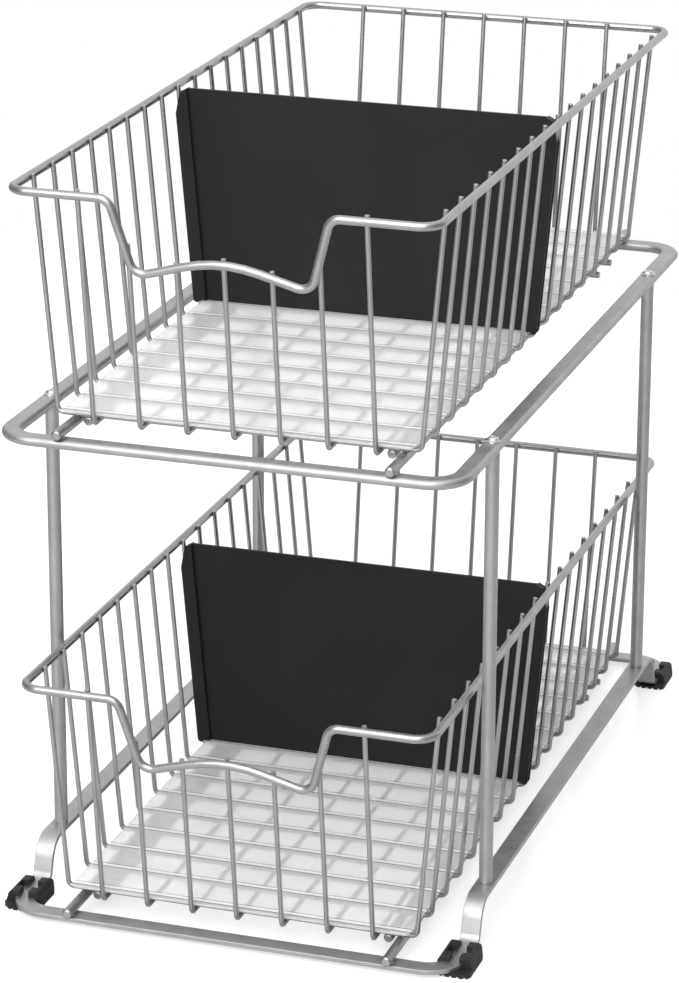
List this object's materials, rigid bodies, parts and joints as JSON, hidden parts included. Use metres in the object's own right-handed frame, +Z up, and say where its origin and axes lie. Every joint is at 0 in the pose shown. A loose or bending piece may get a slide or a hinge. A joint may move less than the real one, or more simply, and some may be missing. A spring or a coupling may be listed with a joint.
{
  "type": "pull out cabinet basket",
  "caption": "Two-tier wire pull-out basket for a base cabinet: each basket slides forward on rails in a steel frame on rubber feet.",
  "frame": {"origin": "middle of the bounding box, on the floor that the feet stand on", "axes": "+Z up, -Y to the front, where the baskets pull out, +X to the right as seen from the front"},
  "size_m": [0.304, 0.5465, 0.4677],
  "materials": {
    "frame_steel": "plated, satin bright",
    "basket_steel": "plated, bright",
    "screw_steel": "plated",
    "foot_rubber": "matte",
    "divider_plastic": "fine matte",
    "liner_plastic": "clear, lightly frosted"
  },
  "bodies": {
    "frame": {"top_ring": "frame_steel", "base_ring": "frame_steel", "top_screws": "screw_steel", "base_screws": "screw_steel", "post_front_left": "frame_steel", "post_front_right": "frame_steel", "post_rear_left": "frame_steel", "post_rear_right": "frame_steel", "foot_front_left": "foot_rubber", "foot_front_right": "foot_rubber", "foot_rear_left": "foot_rubber", "foot_rear_right": "foot_rubber", "lower_rail_left": "frame_steel", "lower_rail_right": "frame_steel", "upper_rail_left": "frame_steel", "upper_rail_right": "frame_steel"},
    "lower_basket": {"lower_rim": "basket_steel", "lower_cross_wires": "basket_steel", "lower_runner_left": "basket_steel", "lower_runner_right": "basket_steel", "lower_stop_rod": "basket_steel", "lower_guard_rod": "basket_steel", "lower_long_wire_1": "basket_steel", "lower_long_wire_2": "basket_steel", "lower_long_wire_3": "basket_steel", "lower_long_wire_4": "basket_steel", "lower_long_wire_5": "basket_steel", "lower_long_wire_6": "basket_steel", "lower_long_wire_7": "basket_steel"},
    "lower_liner_body": {"lower_liner": "liner_plastic"},
    "lower_divider_body": {"lower_divider": "divider_plastic"},
    "upper_basket": {"upper_rim": "basket_steel", "upper_cross_wires": "basket_steel", "upper_runner_left": "basket_steel", "upper_runner_right": "basket_steel", "upper_stop_rod": "basket_steel", "upper_guard_rod": "basket_steel", "upper_long_wire_1": "basket_steel", "upper_long_wire_2": "basket_steel", "upper_long_wire_3": "basket_steel", "upper_long_wire_4": "basket_steel", "upper_long_wire_5": "basket_steel", "upper_long_wire_6": "basket_steel", "upper_long_wire_7": "basket_steel"},
    "upper_liner_body": {"upper_liner": "liner_plastic"},
    "upper_divider_body": {"upper_divider": "divider_plastic"}
  },
  "joints": [
    {"name": "lower_basket_slide", "type": "slide", "parent": "frame", "child": "lower_basket", "axis": [0, -1, 0], "range_m": [0, 0.437]},
    {"name": "lower_liner_lift", "type": "slide", "parent": "lower_basket", "child": "lower_liner_body", "axis": [0, 0, 1], "range_m": [0, 0.07]},
    {"name": "lower_divider_lift", "type": "slide", "parent": "lower_liner_body", "child": "lower_divider_body", "axis": [0, 0, 1], "range_m": [0, 0.07]},
    {"name": "upper_basket_slide", "type": "slide", "parent": "frame", "child": "upper_basket", "axis": [0, -1, 0], "range_m": [0, 0.437]},
    {"name": "upper_liner_lift", "type": "slide", "parent": "upper_basket", "child": "upper_liner_body", "axis": [0, 0, 1], "range_m": [0, 0.15]},
    {"name": "upper_divider_lift", "type": "slide", "parent": "upper_liner_body", "child": "upper_divider_body", "axis": [0, 0, 1], "range_m": [0, 0.15]}
  ]
}
